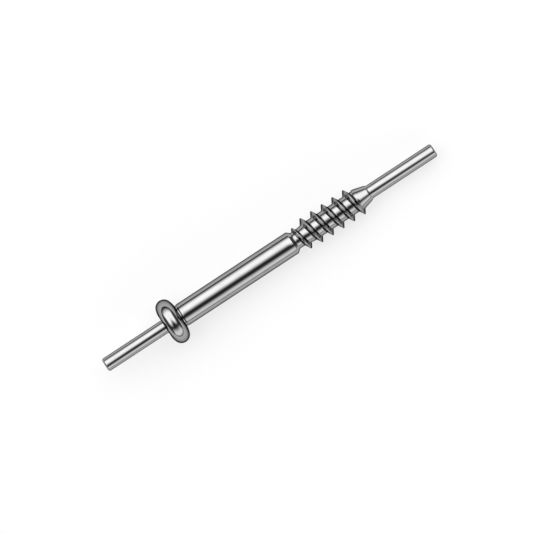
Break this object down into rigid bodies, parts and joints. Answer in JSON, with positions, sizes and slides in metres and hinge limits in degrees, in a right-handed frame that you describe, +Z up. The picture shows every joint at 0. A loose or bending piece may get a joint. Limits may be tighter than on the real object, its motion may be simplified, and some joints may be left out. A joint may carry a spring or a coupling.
{
  "type": "odontoid screw",
  "caption": "Cannulated lag screw with a rounded head, plain shank and coarse bone thread, on a guide wire that slides through it from end to end.",
  "frame": {"origin": "on the surface that the part lies on, under the middle of the guide wire", "axes": "+X level, from the head to the tip, in the vertical plane of the screw's axis; +Z up. The screw's own axis leans 2.23 degrees down towards the tip, because it lies on its head rim and its last full crest"},
  "size_m": [0.0542, 0.0068, 0.0067],
  "materials": {
    "polished_implant_steel": "mirror polished",
    "drawn_wire_steel": "drawn and polished"
  },
  "bodies": {
    "screw": {"screw": "polished_implant_steel"},
    "guide_wire": {"guide_wire": "drawn_wire_steel"}
  },
  "joints": [
    {"name": "wire_slide", "type": "slide", "parent": "screw", "child": "guide_wire", "axis": [0.9992, 0, -0.0388], "range_m": [-0.04, 0.009]}
  ]
}
